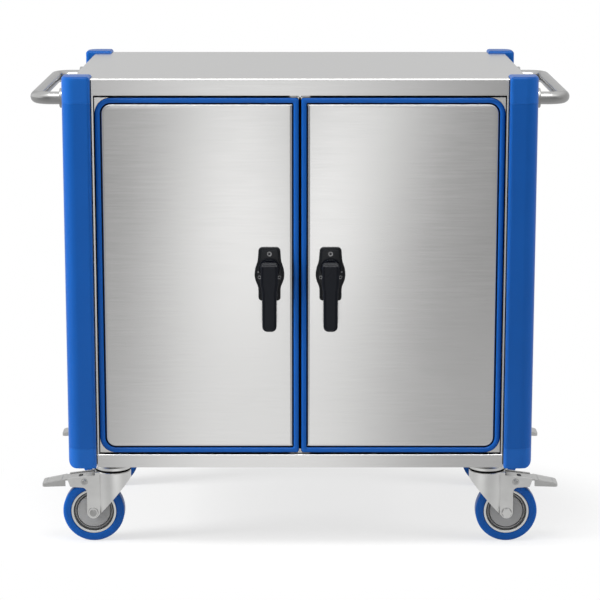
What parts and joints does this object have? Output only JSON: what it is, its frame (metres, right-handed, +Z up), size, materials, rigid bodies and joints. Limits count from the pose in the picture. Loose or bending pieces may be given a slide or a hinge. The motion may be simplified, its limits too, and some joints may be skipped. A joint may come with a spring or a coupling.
{
  "type": "cleanroom material cart",
  "caption": "Stainless cabinet cart with hinged doors, lever latches, rounded corner bumpers, side push handles and braked swivel casters, for moving material in a cleanroom.",
  "frame": {"origin": "on the floor under the middle of the cart's body", "axes": "+X to the right seen from the doors, -Y out of the door side, +Z up"},
  "size_m": [1.066, 0.6115, 0.956],
  "materials": {
    "stainless": "brushed",
    "zinc_steel": "zinc plated",
    "blue_profile": "satin",
    "blue_tyre": "matte",
    "grey_wheel": "matte",
    "black_latch": "grained",
    "black_seal": "matte"
  },
  "bodies": {
    "carcass": {"base_pan": "stainless", "bumper_bottom_caps": "blue_profile", "bumper_front_left": "blue_profile", "bumper_front_right": "blue_profile", "bumper_rear_left": "blue_profile", "bumper_rear_right": "blue_profile", "bumper_top_caps": "blue_profile", "caster_plates": "zinc_steel", "caster_rails": "stainless", "caster_seals": "black_seal", "center_mullion": "stainless", "corner_post_front_left": "stainless", "corner_post_front_right": "stainless", "corner_post_rear_left": "stainless", "corner_post_rear_right": "stainless", "handle_left": "stainless", "handle_right": "stainless", "handle_sockets": "stainless", "header_rail": "stainless", "hinge_brackets": "stainless", "rear_panel": "stainless", "shelf": "stainless", "shelf_rails": "stainless", "side_panel_left": "stainless", "side_panel_right": "stainless", "worktop": "stainless"},
    "door_left": {"door_pan_left": "stainless", "door_frame_left": "blue_profile", "door_skin_left": "stainless", "door_pivots_left": "stainless", "latch_plate_left": "black_latch"},
    "latch_left": {"latch_lever_left": "black_latch", "latch_cam_left": "zinc_steel"},
    "door_right": {"door_pan_right": "stainless", "door_frame_right": "blue_profile", "door_skin_right": "stainless", "door_pivots_right": "stainless", "latch_plate_right": "black_latch"},
    "latch_right": {"latch_lever_right": "black_latch", "latch_cam_right": "zinc_steel"},
    "fork_front_left": {"caster_fork_front_left": "zinc_steel", "caster_axle_front_left": "zinc_steel"},
    "wheel_front_left": {"caster_wheel_front_left": "grey_wheel", "caster_tyre_front_left": "blue_tyre"},
    "pedal_front_left": {"brake_pedal_front_left": "zinc_steel"},
    "fork_front_right": {"caster_fork_front_right": "zinc_steel", "caster_axle_front_right": "zinc_steel"},
    "wheel_front_right": {"caster_wheel_front_right": "grey_wheel", "caster_tyre_front_right": "blue_tyre"},
    "pedal_front_right": {"brake_pedal_front_right": "zinc_steel"},
    "fork_rear_left": {"caster_fork_rear_left": "zinc_steel", "caster_axle_rear_left": "zinc_steel"},
    "wheel_rear_left": {"caster_wheel_rear_left": "grey_wheel", "caster_tyre_rear_left": "blue_tyre"},
    "pedal_rear_left": {"brake_pedal_rear_left": "zinc_steel"},
    "fork_rear_right": {"caster_fork_rear_right": "zinc_steel", "caster_axle_rear_right": "zinc_steel"},
    "wheel_rear_right": {"caster_wheel_rear_right": "grey_wheel", "caster_tyre_rear_right": "blue_tyre"},
    "pedal_rear_right": {"brake_pedal_rear_right": "zinc_steel"}
  },
  "joints": [
    {"name": "door_left_hinge", "type": "hinge", "parent": "carcass", "child": "door_left", "pos_m": [-0.3903, -0.2735, 0.56], "axis": [0, 0, -1], "range_deg": [0, 100]},
    {"name": "latch_left_turn", "type": "hinge", "parent": "door_left", "child": "latch_left", "pos_m": [-0.06, -0.287, 0.579], "axis": [0, 1, 0], "range_deg": [0, 90]},
    {"name": "door_right_hinge", "type": "hinge", "parent": "carcass", "child": "door_right", "pos_m": [0.3903, -0.2735, 0.56], "axis": [0, 0, 1], "range_deg": [0, 100]},
    {"name": "latch_right_turn", "type": "hinge", "parent": "door_right", "child": "latch_right", "pos_m": [0.06, -0.287, 0.579], "axis": [0, -1, 0], "range_deg": [0, 90]},
    {"name": "swivel_front_left", "type": "hinge", "parent": "carcass", "child": "fork_front_left", "pos_m": [-0.38, -0.201, 0.149], "axis": [0, 0, 1], "continuous": true},
    {"name": "wheel_front_left_spin", "type": "hinge", "parent": "fork_front_left", "child": "wheel_front_left", "pos_m": [-0.42, -0.201, 0.0625], "axis": [0, 1, 0], "continuous": true},
    {"name": "pedal_front_left_press", "type": "hinge", "parent": "fork_front_left", "child": "pedal_front_left", "pos_m": [-0.4373, -0.201, 0.127], "axis": [0, -1, 0], "range_deg": [0, 8]},
    {"name": "swivel_front_right", "type": "hinge", "parent": "carcass", "child": "fork_front_right", "pos_m": [0.38, -0.201, 0.149], "axis": [0, 0, 1], "continuous": true},
    {"name": "wheel_front_right_spin", "type": "hinge", "parent": "fork_front_right", "child": "wheel_front_right", "pos_m": [0.42, -0.201, 0.0625], "axis": [0, 1, 0], "continuous": true},
    {"name": "pedal_front_right_press", "type": "hinge", "parent": "fork_front_right", "child": "pedal_front_right", "pos_m": [0.4373, -0.201, 0.127], "axis": [0, 1, 0], "range_deg": [0, 8]},
    {"name": "swivel_rear_left", "type": "hinge", "parent": "carcass", "child": "fork_rear_left", "pos_m": [-0.38, 0.201, 0.149], "axis": [0, 0, 1], "continuous": true},
    {"name": "wheel_rear_left_spin", "type": "hinge", "parent": "fork_rear_left", "child": "wheel_rear_left", "pos_m": [-0.42, 0.201, 0.0625], "axis": [0, 1, 0], "continuous": true},
    {"name": "pedal_rear_left_press", "type": "hinge", "parent": "fork_rear_left", "child": "pedal_rear_left", "pos_m": [-0.4373, 0.201, 0.127], "axis": [0, -1, 0], "range_deg": [0, 8]},
    {"name": "swivel_rear_right", "type": "hinge", "parent": "carcass", "child": "fork_rear_right", "pos_m": [0.38, 0.201, 0.149], "axis": [0, 0, 1], "continuous": true},
    {"name": "wheel_rear_right_spin", "type": "hinge", "parent": "fork_rear_right", "child": "wheel_rear_right", "pos_m": [0.42, 0.201, 0.0625], "axis": [0, 1, 0], "continuous": true},
    {"name": "pedal_rear_right_press", "type": "hinge", "parent": "fork_rear_right", "child": "pedal_rear_right", "pos_m": [0.4373, 0.201, 0.127], "axis": [0, 1, 0], "range_deg": [0, 8]}
  ]
}
